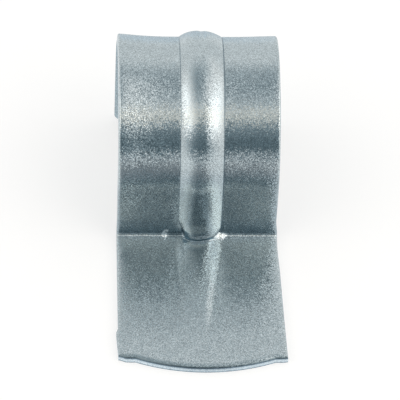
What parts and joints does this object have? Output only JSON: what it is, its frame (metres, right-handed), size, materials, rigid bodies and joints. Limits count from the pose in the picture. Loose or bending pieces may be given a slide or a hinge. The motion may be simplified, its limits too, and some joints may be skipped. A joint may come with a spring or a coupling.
{
  "type": "conduit strap",
  "caption": "Zinc-coated sheet steel strap with a ribbed half-round hoop and a flat flange, to hold conduit to a wall.",
  "frame": {"origin": "on the axis of the conduit that the hoop holds, at the middle of the rib", "axes": "+X along the conduit, +Z away from the wall, the flange lies towards -Y, and the wall's surface is one hoop radius below the origin"},
  "size_m": [0.0192, 0.0405, 0.0198],
  "materials": {
    "zinc_steel": "satin zinc coating"
  },
  "bodies": {
    "root": {"strap": "zinc_steel"}
  },
  "joints": []
}
